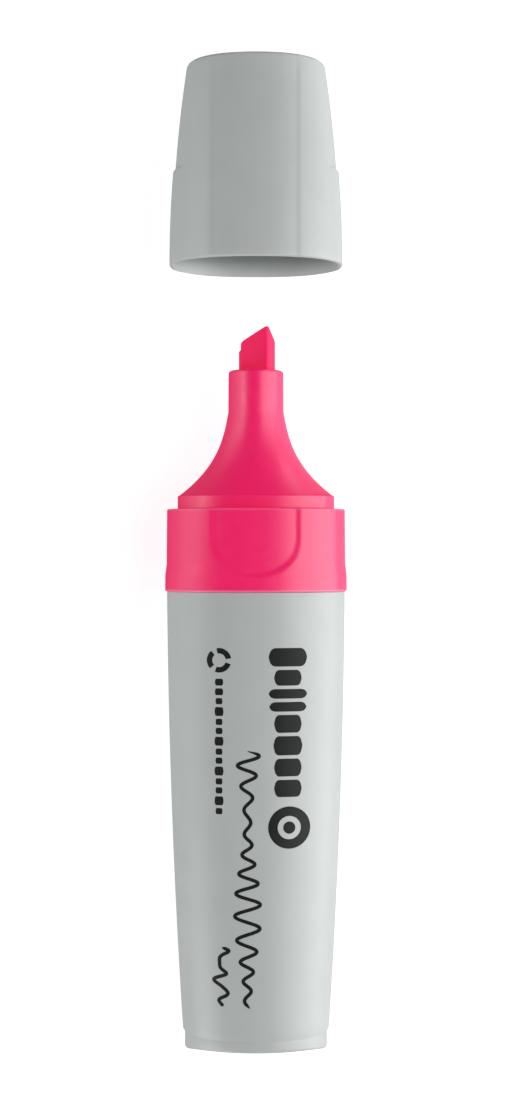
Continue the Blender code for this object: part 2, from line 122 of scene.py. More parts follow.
# Cap
CAP_WALL = 0.0010
CAP_EASE = 0.0003
LEAD_IN = 0.0005
LEAD_IN_HEIGHT = 0.0022
RIM_LEAN = 0.0003
RIM_LEAN_HEIGHT = 0.0040
PAD_HEIGHT = 0.0139
PAD_STEP = 0.00033
PAD_CURVE = 2.9
PAD_LEDGE = 0.00035
PAD_EDGE = 0.86
PAD_EDGE_BLEND = 0.13
CAP_TAPER = 0.069
CAP_CURVE = 2.6
CAP_DEPTH_DROP = 0.0009
CROWN_ROUND = 0.0006
DOME_RISE = 0.0014
DOME_SHARES = (0.96, 0.88, 0.76, 0.62, 0.46, 0.3, 0.15, 0.04)
DOME_PANEL_EDGE = 0.6
DOME_PANEL_BLEND = 0.3
CEILING = 0.0018
CEILING_ROUND = 0.0012

# Liner, a round cup with a thicker foot in the cap's crown
LINER_OUTER = 0.0052
LINER_FOOT = 0.0054
LINER_FOOT_HEIGHT = 0.0012
LINER_FLOOR = 0.0009
LINER_BORE = 0.0044
LINER_COUNT = 96
NEARLY_CENTRE = 0.00005

# Colours, linear
GREY = (0.520, 0.554, 0.542, 1.0)
# A shaded copy of the grey, with painted shade, for the cap's inside
INSIDE_SHADE_GREY = (0.500, 0.576, 0.562, 1.0)
PINK = (0.68, 0.006, 0.132, 1.0)
# Colour of the painted highlight lines on the collar's edges
HIGHLIGHT_PINK = (0.60, 0.17, 0.33, 1.0)
# Colour of the painted glow on the pink plastic and the felt, which are no lamps
PINK_GLOW = (1.0, 0.0073, 0.073, 1.0)
NIB_PINK = (0.92, 0.004, 0.115, 1.0)
PRINT = (0.010, 0.011, 0.012, 1.0)
WHITE_PLASTIC = (0.78, 0.79, 0.78, 1.0)
FILM_HAZE = (0.86, 0.86, 0.88, 1.0)
TABLE_GREY = (0.50, 0.50, 0.50, 1.0)
WHITE = (1.0, 1.0, 1.0, 1.0)


# ---------------------------------------------------------------- places from the frame

def node_box(name):
    lo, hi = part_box(name)
    return Vector(lo), Vector(hi)


BARREL_LO, BARREL_HI = node_box("barrel")
FRONT_LO, FRONT_HI = node_box("front_section")
NIB_HI = node_box("nib")[1]
CAP_LO, CAP_HI = node_box("cap_shell")
LINER_LO, LINER_HI = node_box("cap_liner")
PLUG_LO, PLUG_HI = node_box("end_plug")
AXIS_Z = (BARREL_LO.z + BARREL_HI.z) / 2
HALF_DEPTH = (BARREL_HI.z - BARREL_LO.z) / 2
HALF_WIDTH = (BARREL_HI.x - BARREL_LO.x) / 2
CAP_HALF_WIDTH = (CAP_HI.x - CAP_LO.x) / 2
CAP_HEIGHT = CAP_HI.y - CAP_LO.y
TAIL = PLUG_LO.y
COLLAR_FOOT = BARREL_HI.y
COLLAR_TOP = COLLAR_FOOT + COLLAR_HEIGHT
NECK_TOP = FRONT_HI.y - NECK_SHORTER


# ---------------------------------------------------------------- shapes

def smooth_step(value):
    value = min(1.0, max(0.0, value))
    return value * value * (3.0 - 2.0 * value)


def oval_point(turn, half_width, half_depth, power):
    across = math.cos(turn)
    rise = math.sin(turn)
    x = math.copysign(half_width * abs(across) ** (2 / power), across)
    z = math.copysign(half_depth * abs(rise) ** (2 / power), rise)
    return x, z


def oval(y, half_width, half_depth, power=OVAL, sunk=None, count=AROUND):
    """One loop round the pen's axis at y; sunk(x, y) lowers its broad faces."""
    loop = []
    for i in range(count):
        x, z = oval_point(2 * math.pi * (i + 0.5) / count, half_width, half_depth, power)
        if sunk:
            z -= math.copysign(sunk(x, y), z)
        loop.append(Vector((x, y, AXIS_Z + z)))
    return loop


def skin(name, loops, material, body, joined=False, shaded_inside=None, lined_from=0):
    """A closed mesh over loops of points; a joined one runs from its last loop to its first.

    A second material, here the cap's inside with painted shade, goes on the rows from lined_from
    on.
    """
    count = len(loops[0])
    verts = [tuple(point) for loop in loops for point in loop]
    faces = []
    rows = len(loops)
    for row in range(rows if joined else rows - 1):
        for i in range(count):
            j = (i + 1) % count
            upper = (row + 1) % rows
            faces.append((row * count + i, row * count + j, upper * count + j, upper * count + i))
    if not joined:
        faces.append(tuple(reversed(range(count))))
        faces.append(tuple((rows - 1) * count + i for i in range(count)))
    mesh = bpy.data.meshes.new(name)
    mesh.from_pydata(verts, [], faces)
    mesh.materials.append(material)
    if shaded_inside:
        mesh.materials.append(shaded_inside)
        for polygon in mesh.polygons:
            if min(polygon.vertices) >= lined_from * count:
                polygon.material_index = 1
    piece = bpy.data.objects.new(name, mesh)
    bpy.context.scene.collection.objects.link(piece)
    face_outwards(mesh)
    mesh.shade_smooth()
    mesh.set_sharp_from_angle(angle=SHARP_ANGLE)
    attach(piece, body)
    return piece


def face_outwards(mesh):
    """Flips the mesh if its faces look inwards, told by the sign of its volume."""
    volume = 0.0
    for polygon in mesh.polygons:
        points = [mesh.vertices[i].co for i in polygon.vertices]
        for a, b in zip(points[1:], points[2:]):
            volume += points[0].dot(a.cross(b))
    if volume < 0:
        mesh.flip_normals()


def spread(start, end, steps):
    return [start + (end - start) * i / steps for i in range(steps + 1)]


def rounded_edge(start, end, steps=5):
    """Quarter-round between two (y, inset) pairs; it leaves the first one along y."""
    pairs = []
    for i in range(steps + 1):
        turn = math.radians(90 * i / steps)
        along = start[0] + (end[0] - start[0]) * math.sin(turn)
        inset = start[1] + (end[1] - start[1]) * (1 - math.cos(turn))
        pairs.append((along, inset))
    return pairs


def barrel_half_width(y):
    back = COLLAR_FOOT - y
    return HALF_WIDTH - BARREL_TAPER * back - back**2 / (2 * BARREL_BULGE_RADIUS)


def make_barrel(material):
    """The grey shell, open at both ends."""
    foot = BARREL_LO.y
    loops = []
    for y, inset in reversed(rounded_edge((foot + RIM_EASE, 0.0), (foot, RIM_EASE))):
        loops.append(oval(y, barrel_half_width(y) - inset, HALF_DEPTH - inset))
    for y in spread(foot + RIM_EASE, COLLAR_FOOT - RIM_EASE, 48)[1:-1]:
        loops.append(oval(y, barrel_half_width(y), HALF_DEPTH))
    for y, inset in rounded_edge((COLLAR_FOOT - RIM_EASE, 0.0), (COLLAR_FOOT, RIM_EASE)):
        loops.append(oval(y, barrel_half_width(y) - inset, HALF_DEPTH - inset))
    for y in (COLLAR_FOOT, foot):
        loops.append(oval(y, barrel_half_width(y) - WALL, HALF_DEPTH - WALL))
    piece = skin("barrel_fine", loops, material, "pen", joined=True)
    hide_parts("barrel")


def plug_end_loop(half_width, half_depth, back=0.0, share=1.0):
    """A loop of the plug's end, whose edge curves forward where it crosses the broad faces."""
    loop = oval(TAIL + back, half_width, half_depth)
    for point in loop:
        above = min(1.0, abs(point.z - AXIS_Z) / half_depth)
        point.y += PLUG_RISE * math.sin(math.pi / 2 * above**PLUG_RISE_POWER) * share**2
        point.x *= share
        point.z = AXIS_Z + (point.z - AXIS_Z) * share
    return loop


def make_end_plug(material):
    """The domed tail closure: a small step narrower than the barrel, with a spigot inside it."""
    seam = BARREL_LO.y
    half_width = barrel_half_width(seam) - PLUG_STEP
    half_depth = HALF_DEPTH - PLUG_DEPTH_STEP
    end = (half_width - PLUG_ROUND, half_depth - PLUG_ROUND)
    loops = [plug_end_loop(*end, share=share) for share in PLUG_END_SHARES]
    for back, inset in reversed(rounded_edge((PLUG_ROUND, 0.0), (0.0, PLUG_ROUND), 8)):
        loops.append(plug_end_loop(half_width - inset, half_depth - inset, back))
    for y, inset in rounded_edge((seam - RIM_EASE, 0.0), (seam, RIM_EASE)):
        loops.append(oval(y, half_width - inset, half_depth - inset))
    spigot_width = barrel_half_width(seam) - WALL - FIT_GAP
    spigot_depth = HALF_DEPTH - WALL - FIT_GAP
    loops.append(oval(seam, spigot_width, spigot_depth))
    loops.append(oval(PLUG_HI.y - SPIGOT_SHORTER, spigot_width, spigot_depth))
    piece = skin("end_plug_fine", loops, material, "pen")
    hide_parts("end_plug")


def collar_panel(x, y):
    """How far the collar's broad face is sunk at x, y: a panel open upwards with a rounded end."""
    arc_middle = COLLAR_FOOT + PANEL_FOOT + PANEL_END_HEIGHT
    inside = PANEL_HALF - abs(x)
    if y < arc_middle:
        reach = math.hypot(x / PANEL_HALF, (arc_middle - y) / PANEL_END_HEIGHT)
        inside = (1.0 - reach) * PANEL_END_HEIGHT
    return PANEL_STEP * smooth_step(inside / PANEL_LEDGE)


def collar_half_width(y):
    """Straight near the top, swelling very slightly and then out to a lip at the foot."""
    up = (y - COLLAR_FOOT) / COLLAR_HEIGHT
    lip = smooth_step((2 * LIP_HEIGHT - (y - COLLAR_FOOT)) / LIP_HEIGHT)
    return HALF_WIDTH + COLLAR_SWELL * (1 - up) + (LIP - COLLAR_SWELL) * lip


def flare_loop(share):
    """A loop of the concave flare: share 1 at the base ring, 0 at the neck."""
    spread_out = FLARE_LEAN * share + (1 - FLARE_LEAN) * share**FLARE_POWER
    half_width = NECK_RADIUS + (BASE_HALF_WIDTH - BASE_ROUND - NECK_RADIUS) * spread_out
    half_depth = NECK_RADIUS + (BASE_HALF_DEPTH - BASE_ROUND - NECK_RADIUS) * spread_out
    y = COLLAR_TOP + BASE_HEIGHT + FLARE_HEIGHT * (1 - share)
    return oval(y, half_width, half_depth, ROUND + (OVAL - ROUND) * spread_out)


def make_front_section(material):
    """Skirt, collar with its sunk panels, base ring, flare, neck and the nib's bore."""
    foot = COLLAR_FOOT + COLLAR_SEAM
    low = foot + COLLAR_EASE
    high = COLLAR_TOP - COLLAR_EASE
    base_top = COLLAR_TOP + BASE_HEIGHT
    skirt_width = HALF_WIDTH - WALL - FIT_GAP
    skirt_depth = HALF_DEPTH - WALL - FIT_GAP
    loops = [oval(y, skirt_width, skirt_depth) for y in (FRONT_LO.y, foot)]
    for y, inset in reversed(rounded_edge((low, 0.0), (foot, COLLAR_EASE))):
        loops.append(oval(y, collar_half_width(y) - inset, HALF_DEPTH - inset))
    for y in spread(low, high, 56)[1:-1]:
        loops.append(oval(y, collar_half_width(y), HALF_DEPTH, sunk=collar_panel))
    for y, inset in rounded_edge((high, 0.0), (COLLAR_TOP, COLLAR_EASE)):
        loops.append(oval(y, HALF_WIDTH - inset, HALF_DEPTH - inset, sunk=collar_panel))
    ring = rounded_edge((COLLAR_TOP + BASE_FILLET, 0.0), (COLLAR_TOP, -BASE_FILLET))[::-1]
    ring += rounded_edge((base_top - BASE_ROUND, 0.0), (base_top, BASE_ROUND), 6)[:-1]
    for y, inset in ring:
        loops.append(oval(y, BASE_HALF_WIDTH - inset, BASE_HALF_DEPTH - inset))
    loops += [flare_loop(1 - i / FLARE_STEPS) for i in range(FLARE_STEPS + 1)]
    for y, inset in rounded_edge((NECK_TOP - MOUTH_ROUND, 0.0), (NECK_TOP, MOUTH_ROUND), 8):
        loops.append(oval(y, MOUTH_RADIUS - inset, MOUTH_RADIUS - inset, ROUND))
    for y, inset in rounded_edge((NECK_TOP, -BORE_ROUND), (NECK_TOP - BORE_ROUND, 0.0), 4):
        loops.append(nib_loop(y, BORE_GAP - inset, step=NIB_STEP))
    loops.append(nib_loop(COLLAR_TOP + BORE_FLOOR, BORE_GAP, step=NIB_STEP))
    piece = skin("front_section_fine", loops, material, "pen")
    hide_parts("front_section")


def nib_point(across, back, y):
    """A point of the nib from its own across and back places, turned with the nib."""
    cosine = math.cos(NIB_TURN)
    sine = math.sin(NIB_TURN)
    x = NIB_OFFSET + across * cosine - back * sine
    return Vector((x, y, AXIS_Z + across * sine + back * cosine))


def nib_loop(y, room=0.0, share=1.0, lift=0.0, step=0.0):
    """The nib's section with room round it, level at y or, where y is None, on the end's cut.

    Below a small step near its end, the nib is wider on its left by the step.
    """
    loop = []
    for i in range(AROUND):
        turn = 2 * math.pi * (i + 0.5) / AROUND
        across, back = oval_point(turn, NIB_HALF_WIDTH + room, NIB_HALF_DEPTH + room, RECTANGLE)
        across *= share
        back *= share
        level = nib_end(across, back) + lift if y is None else y
        if across < 0:
            across -= step
        loop.append(nib_point(across, back, level))
    return loop


def nib_end(across, back):
    """Where the chisel cut ends the nib: highest at the front right corner, as in the CAD."""
    slopes = (math.tan(NIB_SLOPE_ACROSS), math.tan(NIB_SLOPE_BACK))
    reach = slopes[0] * NIB_HALF_WIDTH + slopes[1] * NIB_HALF_DEPTH
    conjugate = RECTANGLE / (RECTANGLE - 1)
    most = (slopes[0] * NIB_HALF_WIDTH) ** conjugate + (slopes[1] * NIB_HALF_DEPTH) ** conjugate
    peak = NIB_HI.y - NIB_WORN + reach - most ** (1 / conjugate)
    return peak - reach + slopes[0] * across + slopes[1] * back


def make_nib(material):
    """A flat felt bar cut to a slanted chisel edge, with the cut's edges slightly worn."""
    step_at = NIB_HI.y - NIB_STEP_DROP
    loops = [nib_loop(NECK_TOP - NIB_HIDDEN, step=NIB_STEP)]
    loops.append(nib_loop(NECK_TOP + NIB_BARE, step=NIB_STEP))
    loops.append(nib_loop(step_at - NIB_STEP, step=NIB_STEP))
    below, wider = NIB_STEP_BEND
    loops.append(nib_loop(step_at - below * NIB_STEP, step=wider * NIB_STEP))
    narrowed = nib_loop(step_at)
    loops.append(narrowed)
    cut = nib_loop(None, lift=-NIB_EASE)
    for share in NIB_SIDE_SHARES:
        loops.append([a.lerp(b, share) for a, b in zip(narrowed, cut)])
    for i in range(1, NIB_EASE_STEPS + 1):
        turn = math.radians(90 * i / NIB_EASE_STEPS)
        inset = NIB_EASE * (1 - math.cos(turn))
        loops.append(nib_loop(None, room=-inset, lift=-NIB_EASE * (1 - math.sin(turn))))
    for share in NIB_CUT_SHARES:
        loops.append(nib_loop(None, room=-NIB_EASE, share=share))
    piece = skin("nib_fine", loops, material, "pen")
    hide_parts("nib")


def cap_half_width(height):
    """The cap's half width above the rim, without the pads on its narrow sides."""
    curved = CAP_HALF_WIDTH - PAD_STEP - PAD_CURVE * min(height, PAD_HEIGHT) ** 2
    above = max(0.0, height - PAD_HEIGHT)
    return curved - CAP_TAPER * above - CAP_CURVE * above**2


def cap_half_depth(height):
    return HALF_DEPTH - CAP_DEPTH_DROP * (height / CAP_HEIGHT) ** 2


def cap_panel(x, y):
    """How far the cap's broad face is sunk at x, y: a panel that runs out below the crown."""
    below_top = smooth_step((CAP_HI.y - DOME_RISE - y) / PANEL_FADE)
    return CAP_PANEL_STEP * below_top * smooth_step((PANEL_HALF - abs(x)) / PANEL_LEDGE)


def cap_loop(height, inset=0.0):
    """A loop of the cap's outside, with its panels and pads, drawn in by inset."""
    half_width = cap_half_width(height) - inset
    half_depth = cap_half_depth(height) + CAP_PANEL_STEP - inset
    pad = PAD_STEP * smooth_step(1 - (height - PAD_HEIGHT) / PAD_LEDGE)
    loop = oval(CAP_LO.y + height, half_width, half_depth, sunk=cap_panel)
    for point in loop:
        reach = abs(point.x) / half_width
        over = smooth_step((reach - PAD_EDGE) / PAD_EDGE_BLEND)
        point.x += math.copysign(pad * over, point.x)
    return loop


def rim_lean(loop, height):
    """Leans a loop near the rim, whose underside reaches a little further than its top."""
    lean = RIM_LEAN * max(0.0, 1 - height / RIM_LEAN_HEIGHT)
    for point in loop:
        point.y -= lean * (CAP_HI.z - point.z) / (CAP_HI.z - CAP_LO.z)
    return loop


def cap_top_loop(share):
    """A loop of the domed top, at a share of its width."""
    crown = CAP_HEIGHT - DOME_RISE
    half_width = cap_half_width(crown) - CROWN_ROUND
    raised = CAP_PANEL_STEP * smooth_step((share - DOME_PANEL_EDGE) / DOME_PANEL_BLEND)
    half_depth = cap_half_depth(crown) - CROWN_ROUND + raised
    y = CAP_LO.y + crown + DOME_RISE * (1 - share**2)
    return oval(y, half_width * share, half_depth * share)


def make_cap(material, shaded_inside):
    """The cap's shell: eased rim, pads on the narrow sides, rounded crown and domed top.

    Its inside, from the rim's lead-in to the ceiling, takes the second material: the grey with
    painted shade, darker inwards from the rim.
    """
    crown = CAP_HEIGHT - DOME_RISE
    start = crown - CROWN_ROUND
    loops = []
    for height, inset in reversed(rounded_edge((CAP_EASE, 0.0), (0.0, CAP_EASE))):
        loops.append(rim_lean(cap_loop(height, inset), height))
    for height in spread(CAP_EASE, PAD_HEIGHT, 14)[1:]:
        loops.append(rim_lean(cap_loop(height), height))
    for height in spread(PAD_HEIGHT, PAD_HEIGHT + PAD_LEDGE, 6)[1:]:
        loops.append(cap_loop(height))
    for height in spread(PAD_HEIGHT + PAD_LEDGE, start, 16)[1:-1]:
        loops.append(cap_loop(height))
    for height, inset in rounded_edge((start, 0.0), (crown, CROWN_ROUND), 8):
        loops.append(cap_loop(height, inset))
    loops += [cap_top_loop(share) for share in DOME_SHARES]
    loops.reverse()
    inside = len(loops)
    top = CAP_HEIGHT - CEILING
    for height in spread(0.0, LEAD_IN_HEIGHT, 8):
        wall = CAP_WALL - LEAD_IN * (1 - height / LEAD_IN_HEIGHT) ** 2
        loop = oval(CAP_LO.y + height, CAP_HALF_WIDTH - wall, HALF_DEPTH - wall)
        loops.append(rim_lean(loop, height))
    for height in spread(LEAD_IN_HEIGHT, top - CEILING_ROUND, 12)[1:]:
        slim = cap_half_width(height) + PAD_STEP * max(0.0, 1 - height / PAD_HEIGHT)
        loops.append(oval(CAP_LO.y + height, slim - CAP_WALL, cap_half_depth(height) - CAP_WALL))
    for height, inset in rounded_edge((top - CEILING_ROUND, 0.0), (top, CEILING_ROUND))[1:]:
        slim = cap_half_width(height) - CAP_WALL - inset
        loops.append(oval(CAP_LO.y + height, slim, cap_half_depth(height) - CAP_WALL - inset))
    piece = skin("cap_fine", loops, material, "cap", shaded_inside=shaded_inside, lined_from=inside)
    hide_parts("cap_shell")


def make_liner(material):
    """The round inner cup of the cap, with a softened mouth."""
    mouth = LINER_LO.y
    top = LINER_HI.y
    foot = top - LINER_FOOT_HEIGHT
    floor = top - LINER_FLOOR
    profile = [
        (NEARLY_CENTRE, top), (LINER_FOOT - 0.0001, top), (LINER_FOOT, top - 0.0001),
        (LINER_FOOT, foot), (LINER_OUTER, foot),
        (LINER_OUTER, mouth + 0.0002), (LINER_OUTER - 0.0002, mouth),
        (LINER_BORE + 0.0004, mouth), (LINER_BORE + 0.0001, mouth + 0.0003),
        (LINER_BORE, mouth + 0.0007),
        (LINER_BORE, floor - 0.0002), (LINER_BORE - 0.0002, floor), (NEARLY_CENTRE, floor),
    ]
    loops = [oval(y, radius, radius, ROUND, count=LINER_COUNT) for radius, y in profile]
    piece = skin("cap_liner_fine", loops, material, "cap")
    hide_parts("cap_liner")


# ---------------------------------------------------------------- printed marks

PRINT_LIFT = 0.000015
BAR_STEPS = 24
BAR_FULLNESS = 0.98
LINE_WIDTH = 0.00052
LINE_END = 0.25
LINE_TAPER_STEPS = 6

# The bold marks' row: its x, its start and the ringed dot's middle behind the collar's foot
BOLD_X = 0.0047
BOLD_START = 0.0081
BOLD_GAP = 0.0005
BOLD_BARS = ((0.0056, 0.0027), (0.0040, 0.0023), (0.0056, 0.0014), (0.0054, 0.0014))
BOLD_BARS += ((0.0040, 0.0026), (0.0042, 0.0028), (0.0040, 0.0026), (0.0040, 0.0025))
EMBLEM_OFFSET = 0.0002
EMBLEM_PLACE = 0.0344
EMBLEM_RING = (0.0031, 0.0017)
EMBLEM_DOT = (0.0009, 0.00002)

# The small marks' row: three arcs round a gap, then the small bars
SMALL_X = -0.0054
ARCS_PLACE = 0.0099
ARCS_RADII = (0.0010, 0.0018)
ARCS_STARTS = (10.0, 130.0, 250.0)
ARCS_SWEEP = 92.0
SMALL_START = 0.0126
SMALL_GAP = 0.00042
SMALL_BARS = [(0.0012, 0.0010)] * 2
SMALL_BARS += [(0.0013, 0.0013) if i % 3 == 1 else (0.0010, 0.0009) for i in range(12)]

# Squiggles: x, start behind the collar's foot, length, reach to each side and number of waves
LONG_SQUIGGLE = (-0.0012, 0.0232, 0.0376, 0.0019, 12)
SHORT_SQUIGGLE = (SMALL_X + 0.0004, 0.0520, 0.0086, 0.0013, 3)
SQUIGGLE_STEPS = 360

# How a squiggle's reach varies along it: mean, change, rate and start; and how its pace does
SWELL = (0.62, 0.38, 9.0, 0.6)
PACE_CHANGE = 0.7
PACE_RATE = 14


def barrel_surface(x, y):
    """The point on the barrel's upper face above x, y, lifted by the ink's thickness."""
    half_width = barrel_half_width(y)
    rise = HALF_DEPTH * (1 - (abs(x) / half_width) ** OVAL) ** (1 / OVAL)
    return (x, y, AXIS_Z + rise + PRINT_LIFT)


def printed(name, patches, material):
    """Ink patches, each a grid of (x, y) rows, laid on the barrel as one object."""
    verts = []
    faces = []
    for rows in patches:
        base = len(verts)
        width = len(rows[0])
        verts += [barrel_surface(x, y) for row in rows for x, y in row]
        for r in range(len(rows) - 1):
            for c in range(width - 1):
                a = base + r * width + c
                faces.append((a, a + 1, a + width + 1, a + width))
    mesh = bpy.data.meshes.new(name)
    mesh.from_pydata(verts, [], faces)
    mesh.materials.append(material)
    piece = bpy.data.objects.new(name, mesh)
    bpy.context.scene.collection.objects.link(piece)
    for polygon in mesh.polygons:
        if polygon.normal.z < 0:
            polygon.flip()
    mesh.shade_smooth()
    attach(piece, "pen")


def bar(centre, width, length, round_share=0.35):
    """A bar across the pen, whose rounded ends each take round_share of half its width."""
    rows = []
    for i in range(BAR_STEPS + 1):
        across = -1 + 2 * i / BAR_STEPS
        edge = max(0.0, abs(across) - (1 - round_share)) / round_share
        half = length / 2 * math.sqrt(max(0.0, 1 - edge**2 * BAR_FULLNESS))
        x = centre[0] + across * width / 2
        rows.append([(x, centre[1] - half + 2 * half * j / 6) for j in range(7)])
    return rows


def spoke(centre, inner, outer, turn):
    """A row of (x, y) points from one radius to another round the centre."""
    x, y = centre
    return [(x + r * math.cos(turn), y + r * math.sin(turn)) for r in spread(inner, outer, 4)]


def annulus(centre, outer, inner, steps=64):
    """A flat ring; with a very small inner radius it is a dot."""
    return [spoke(centre, inner, outer, 2 * math.pi * i / steps) for i in range(steps + 1)]


def stroke(points, width):
    """A ribbon of even width along a path of (x, y) points, with tapered ends."""
    rows = []
    last = len(points) - 1
    for i, point in enumerate(points):
        before = Vector(points[max(0, i - 1)])
        after = Vector(points[min(last, i + 1)])
        along = (after - before).normalized()
        side = Vector((-along.y, along.x))
        half = width / 2 * min(1.0, LINE_END + min(i, last - i) / LINE_TAPER_STEPS)
        centre = Vector(point)
        rows.append([tuple(centre + side * half * s) for s in (-1, 0, 1)])
    return rows


def bar_row(x, start, pieces, gap):
    """Bars one behind the other towards the tail; each piece is (width, length)."""
    bars = []
    y = start
    for width, length in pieces:
        bars.append(bar((x, y - length / 2), width, length))
        y -= length + gap
    return bars


def arc_band(centre, radii, start, sweep):
    """A slice of a flat ring, from one angle through a sweep in degrees."""
    turns = [math.radians(start + sweep * i / 24) for i in range(25)]
    return [spoke(centre, *radii, turn) for turn in turns]


def squiggle(x, start, length, reach, waves):
    """A pen-like line that swings unevenly from side to side on its way towards the tail."""
    points = []
    begin = COLLAR_FOOT - start
    mean, change, rate, phase = SWELL
    for i in range(SQUIGGLE_STEPS + 1):
        share = i / SQUIGGLE_STEPS
        swell = mean + change * math.cos(rate * share + phase)
        uneven = PACE_CHANGE * math.sin(PACE_RATE * share)
        swing = reach * swell * math.sin(2 * math.pi * waves * share + uneven)
        points.append((x + swing, begin - length * share))
    return points


def make_prints(ink):
    """Plain marks without lettering: bold bars, a ringed dot, squiggles, arcs and small bars."""
    bold = bar_row(BOLD_X, COLLAR_FOOT - BOLD_START, BOLD_BARS, BOLD_GAP)
    printed("print_bars", bold, ink)
    centre = (BOLD_X + EMBLEM_OFFSET, COLLAR_FOOT - EMBLEM_PLACE)
    printed("print_emblem", [annulus(centre, *radii) for radii in (EMBLEM_RING, EMBLEM_DOT)], ink)
    printed("print_squiggle", [stroke(squiggle(*LONG_SQUIGGLE), LINE_WIDTH)], ink)
    middle = (SMALL_X, COLLAR_FOOT - ARCS_PLACE)
    arcs = [arc_band(middle, ARCS_RADII, start, ARCS_SWEEP) for start in ARCS_STARTS]
    printed("print_small_arcs", arcs, ink)
    small = bar_row(SMALL_X, COLLAR_FOOT - SMALL_START, SMALL_BARS, SMALL_GAP)
    printed("print_small_bars", small, ink)
    printed("print_short_squiggle", [stroke(squiggle(*SHORT_SQUIGGLE), LINE_WIDTH)], ink)


# ---------------------------------------------------------------- finishes

PLASTIC_IOR = 1.49

# Scales of the noise over the object's own metres
MOTTLE_SCALE = 180.0
GLOSS_SCALE = 900.0
GRAIN_SCALE = 5200.0
STRAND_SCALE = 5200.0
STRAND_STRETCH = (1.0, 0.05, 1.0)
INK_SCALE = 2600.0
HAZE_SCALE = 700.0
NOISE_RANGE = (0.3, 0.7)

GRAIN_DEPTH = 0.000003
STRAND_DEPTH = 0.00002
BUMP_STRENGTH = 0.6
# Painted glow: emission strengths that make the pink plastic and the felt shine though they are no
# lamps
PINK_GLOW_STRENGTH = 0.33
FELT_GLOW_STRENGTH = 0.18

# Painted shade: the cap's inside darkens inwards to a share of its colour at this depth
INSIDE_SHADE_DEPTH = 0.0030
INSIDE_SHADE_SHARE = 0.50

# Painted highlights, pale lines round the collar's foot and top edges: half the width of each, and
# how much of the pale pink is in it
FOOT_HIGHLIGHT_HALF = 0.00042
FOOT_HIGHLIGHT_SHARE = 1.0
TOP_HIGHLIGHT_DROP = 0.00010
TOP_HIGHLIGHT_HALF = 0.00024
TOP_HIGHLIGHT_SHARE = 0.45

# The colour sockets of Blender's Mix node, which shares its sockets' names between data types
MIX_FIRST = 6
MIX_SECOND = 7
MIX_RESULT = 2


def new_material(name):
    material = bpy.data.materials.new(name)
    material.use_nodes = True
    tree = material.node_tree
    return material, tree, tree.nodes["Principled BSDF"]


def noise(tree, scale, detail=3.0, stretch=(1.0, 1.0, 1.0)):
    """Noise in the object's own metres; stretch squeezes it along each axis."""
    where = tree.nodes.new("ShaderNodeTexCoord")
    mapping = tree.nodes.new("ShaderNodeMapping")
    mapping.inputs["Scale"].default_value = stretch
    texture = tree.nodes.new("ShaderNodeTexNoise")
    texture.inputs["Scale"].default_value = scale
    texture.inputs["Detail"].default_value = detail
    tree.links.new(where.outputs["Object"], mapping.inputs["Vector"])
    tree.links.new(mapping.outputs["Vector"], texture.inputs["Vector"])
    return texture.outputs["Fac"]


def map_range(tree, value, source, target=(0.0, 1.0)):
    """Maps a value from a source range, clamped, to a target range."""
    node = tree.nodes.new("ShaderNodeMapRange")
    node.inputs["From Min"].default_value, node.inputs["From Max"].default_value = source
    node.inputs["To Min"].default_value, node.inputs["To Max"].default_value = target
    tree.links.new(value, node.inputs["Value"])
    return node.outputs["Result"]


def mixed_colour(tree, factor, first):
    """A Mix node between a linked first colour and a second one, which its caller sets."""
    node = tree.nodes.new("ShaderNodeMix")
    node.data_type = "RGBA"
    tree.links.new(factor, node.inputs["Factor"])
    tree.links.new(first, node.inputs[MIX_FIRST])
    return node


def tinted(tree, value, colour, change):
    """The colour made darker and lighter by change, as the value varies."""
    ramp = tree.nodes.new("ShaderNodeValToRGB")
    gains = (1 - change, 1 + change)
    for element, place, gain in zip(ramp.color_ramp.elements, NOISE_RANGE, gains):
        element.position = place
        element.color = [min(1.0, c * gain) for c in colour[:3]] + [1.0]
    tree.links.new(value, ramp.inputs["Fac"])
    return ramp.outputs["Color"]


def bumped(tree, shader, value, depth):
    bump = tree.nodes.new("ShaderNodeBump")
    bump.inputs["Distance"].default_value = depth
    bump.inputs["Strength"].default_value = BUMP_STRENGTH
    tree.links.new(value, bump.inputs["Height"])
    tree.links.new(bump.outputs["Normal"], shader.inputs["Normal"])


def moulded_plastic(name, colour, roughness, glow=0.0):
    """Satin moulded plastic: faint mottling, a very fine grain and slightly uneven gloss. A glow
    above nought is a painted glow, pink emission though the part is no lamp.
    """
    material, tree, shader = new_material(name)
    mottle = noise(tree, MOTTLE_SCALE, 4.0)
    tree.links.new(tinted(tree, mottle, colour, 0.02), shader.inputs["Base Color"])
    gloss = noise(tree, GLOSS_SCALE)
    tree.links.new(map_range(tree, gloss, NOISE_RANGE, roughness), shader.inputs["Roughness"])
    bumped(tree, shader, noise(tree, GRAIN_SCALE, 2.0), GRAIN_DEPTH)
    shader.inputs["IOR"].default_value = PLASTIC_IOR
    shader.inputs["Specular IOR Level"].default_value = 1.0
    shader.inputs["Emission Color"].default_value = PINK_GLOW
    shader.inputs["Emission Strength"].default_value = glow
    return material


def along_pen(tree):
    """The place along the pen, as the object's own y."""
    where = tree.nodes.new("ShaderNodeTexCoord")
    split = tree.nodes.new("ShaderNodeSeparateXYZ")
    tree.links.new(where.outputs["Object"], split.inputs["Vector"])
    return split.outputs["Y"]


def shade_inwards(material, mouth, depth, share):
    """Paints shade into a material's colour from the mouth inwards, down to a share of it at the
    depth.
    """
    tree = material.node_tree
    base = tree.nodes["Principled BSDF"].inputs["Base Color"]
    inwards = map_range(tree, along_pen(tree), (mouth, mouth + depth), (1.0, share))
    dimmed = tree.nodes.new("ShaderNodeVectorMath")
    dimmed.operation = "SCALE"
    tree.links.new(base.links[0].from_socket, dimmed.inputs["Vector"])
    tree.links.new(inwards, dimmed.inputs["Scale"])
    tree.links.new(dimmed.outputs["Vector"], base)


